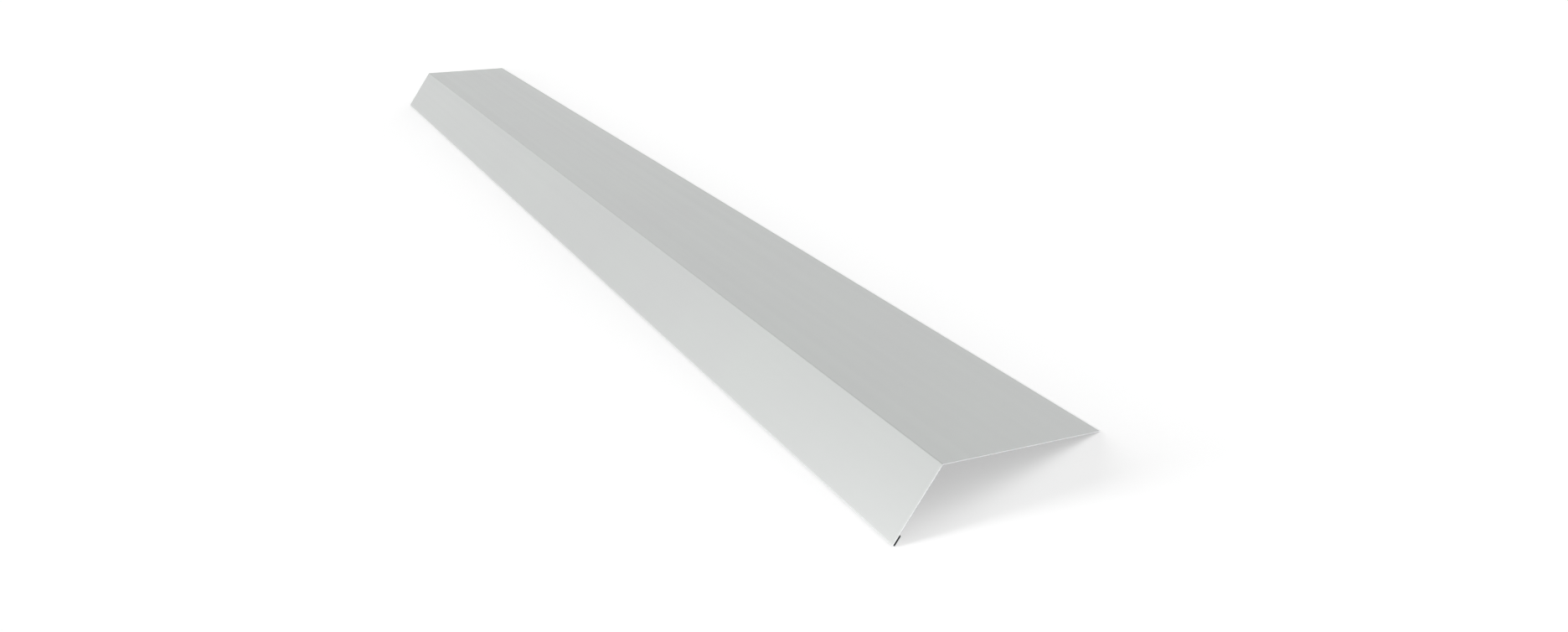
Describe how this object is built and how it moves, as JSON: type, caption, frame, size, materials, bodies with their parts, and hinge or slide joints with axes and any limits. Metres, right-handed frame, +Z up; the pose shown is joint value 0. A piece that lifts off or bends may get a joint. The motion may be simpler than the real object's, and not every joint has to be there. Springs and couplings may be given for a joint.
{
  "type": "eaves flashing",
  "caption": "Folded strip of light grey coated steel with a wide roof flange, a sloping drip flange and an open hem, for weathering a roof's edge at the eaves.",
  "frame": {"origin": "on the floor, at the middle of the box that the strip fills as it lies at rest", "axes": "+X along the eaves, -Y towards the weather side where the drip flange is, +Z up from the floor"},
  "size_m": [2, 0.202, 0.0466],
  "materials": {
    "coated_steel": "light grey polyester coat, satin"
  },
  "bodies": {
    "root": {"eaves_flashing": "coated_steel"}
  },
  "joints": []
}
